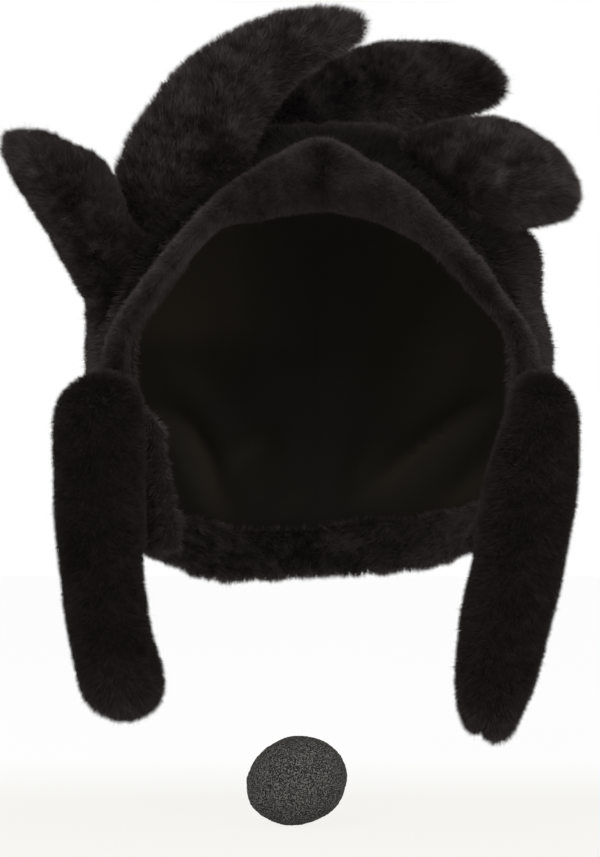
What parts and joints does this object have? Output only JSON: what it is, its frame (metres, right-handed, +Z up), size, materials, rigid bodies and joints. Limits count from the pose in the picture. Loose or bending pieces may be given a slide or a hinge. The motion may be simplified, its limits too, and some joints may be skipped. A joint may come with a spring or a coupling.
{
  "type": "plush costume hat",
  "caption": "Black plush costume hood with a pointed turned-up brim, stuffed tufts along the top, hanging stuffed ears, an elastic neck edge and a loose sponge nose.",
  "frame": {"origin": "centre of the head opening, at the level of the neck edge's front corners", "axes": "+Z up, the face opening looks along -Y, +X to the right of a viewer facing it"},
  "size_m": [0.2614, 0.2452, 0.3732],
  "materials": {
    "black_plush": "short pile",
    "lining_cloth": "fine knit, matte",
    "wadding": "loose fibre",
    "elastic_tape": "woven, matte",
    "sponge": "open-cell foam"
  },
  "bodies": {
    "hat": {"crown_left": "black_plush", "crown_right": "black_plush", "lining_left": "lining_cloth", "lining_right": "lining_cloth", "facing_left": "black_plush", "facing_right": "black_plush", "brim_left": "black_plush", "brim_right": "black_plush", "neck_hem": "black_plush", "neck_elastic": "elastic_tape"},
    "left_ear_neck": {"left_ear_neck": "black_plush"},
    "left_ear": {"left_ear_front": "black_plush", "left_ear_back": "black_plush", "left_ear_filling": "wadding"},
    "right_ear_neck": {"right_ear_neck": "black_plush"},
    "right_ear": {"right_ear_front": "black_plush", "right_ear_back": "black_plush", "right_ear_filling": "wadding"},
    "left_tuft": {"left_tuft_root": "black_plush", "left_tuft_front": "black_plush", "left_tuft_back": "black_plush", "left_tuft_filling": "wadding"},
    "tall_tuft": {"tall_tuft_root": "black_plush", "tall_tuft_front": "black_plush", "tall_tuft_back": "black_plush", "tall_tuft_filling": "wadding"},
    "back_tuft": {"back_tuft_root": "black_plush", "back_tuft_front": "black_plush", "back_tuft_back": "black_plush", "back_tuft_filling": "wadding"},
    "right_tuft": {"right_tuft_root": "black_plush", "right_tuft_front": "black_plush", "right_tuft_back": "black_plush", "right_tuft_filling": "wadding"},
    "nose": {"sponge_nose": "sponge"}
  },
  "joints": [
    {"name": "left_ear_swing", "type": "hinge", "parent": "hat", "child": "left_ear_neck", "pos_m": [-0.09, -0.08135, 0.07], "axis": [0, 1, 0], "range_deg": [-8, 100]},
    {"name": "left_ear_tilt", "type": "hinge", "parent": "left_ear_neck", "child": "left_ear", "pos_m": [-0.09, -0.08135, 0.07], "axis": [-1, 0, 0], "range_deg": [0, 45]},
    {"name": "right_ear_swing", "type": "hinge", "parent": "hat", "child": "right_ear_neck", "pos_m": [0.09, -0.08135, 0.07], "axis": [0, -1, 0], "range_deg": [-8, 100]},
    {"name": "right_ear_tilt", "type": "hinge", "parent": "right_ear_neck", "child": "right_ear", "pos_m": [0.09, -0.08135, 0.07], "axis": [-1, 0, 0], "range_deg": [0, 45]},
    {"name": "left_tuft_lean", "type": "hinge", "parent": "hat", "child": "left_tuft", "pos_m": [-0.10153, -0.05153, 0.09975], "axis": [0.3917, 0.0881, 0.9159], "range_deg": [-12, 12], "stiffness_Nm_per_rad": 0.08},
    {"name": "tall_tuft_lean", "type": "hinge", "parent": "hat", "child": "tall_tuft", "pos_m": [-0.09181, -0.02078, 0.14422], "axis": [0.7718, 0.0296, 0.6351], "range_deg": [-12, 12], "stiffness_Nm_per_rad": 0.08},
    {"name": "back_tuft_lean", "type": "hinge", "parent": "hat", "child": "back_tuft", "pos_m": [-0.0222, 0.02766, 0.19414], "axis": [1, 0, 0], "range_deg": [-12, 12], "stiffness_Nm_per_rad": 0.08},
    {"name": "right_tuft_lean", "type": "hinge", "parent": "hat", "child": "right_tuft", "pos_m": [0.06503, -0.02447, 0.16676], "axis": [0.6986, 0, -0.7155], "range_deg": [-12, 12], "stiffness_Nm_per_rad": 0.08},
    {"name": "nose_lift", "type": "slide", "parent": "hat", "child": "nose", "axis": [0, 0, 1], "range_m": [0, 0.14]}
  ]
}
